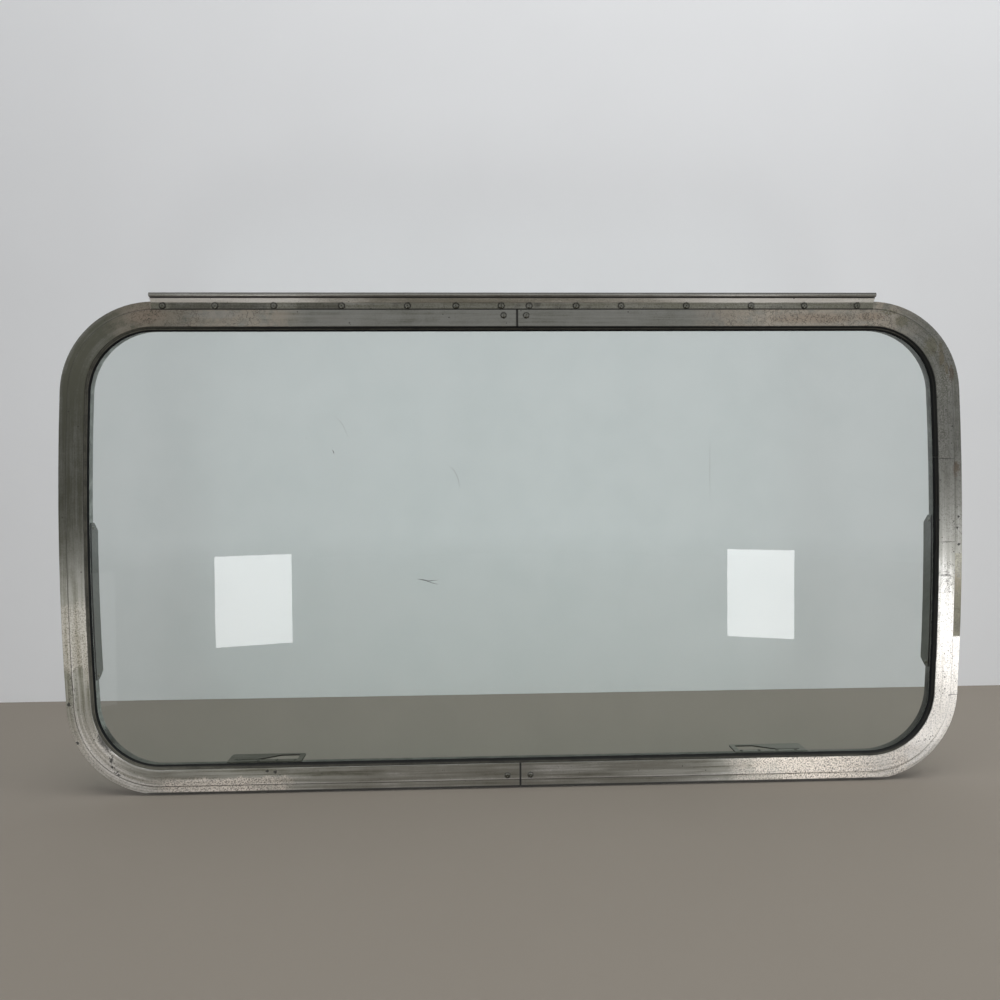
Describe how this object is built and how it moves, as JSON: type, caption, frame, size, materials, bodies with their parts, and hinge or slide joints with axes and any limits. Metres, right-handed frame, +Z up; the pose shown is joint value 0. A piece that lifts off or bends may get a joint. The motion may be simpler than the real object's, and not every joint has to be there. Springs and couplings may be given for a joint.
{
  "type": "caravan window",
  "caption": "Top-hung caravan window: rubber-glazed pane in a bent hollow aluminium frame, with a beaded hinge rail above and stay plates and ramped catch keepers on the inside.",
  "frame": {"origin": "on the back of the frame's outer flange, at the middle of the top, half way up the flange", "axes": "+X to the right seen from outside, +Y from outside into the caravan, square to the glass, +Z up"},
  "size_m": [1.016, 0.0423, 0.5542],
  "materials": {
    "frame": "weathered mill finish, pitted and streaked",
    "hinge": "weathered mill finish",
    "hardware": "dull sheet",
    "pane": "clear, faintly green, a little scratched",
    "seal": "aged black rubber"
  },
  "bodies": {
    "root": {"frame_left": "frame", "frame_right": "frame", "joiner_top": "hardware", "joiner_bottom": "hardware", "glazing_seal": "seal", "glass_pane": "pane", "hinge_rail": "hinge", "stay_plate_left": "hardware", "stay_plate_right": "hardware", "catch_keeper_left": "hardware", "catch_keeper_right": "hardware"}
  },
  "joints": []
}
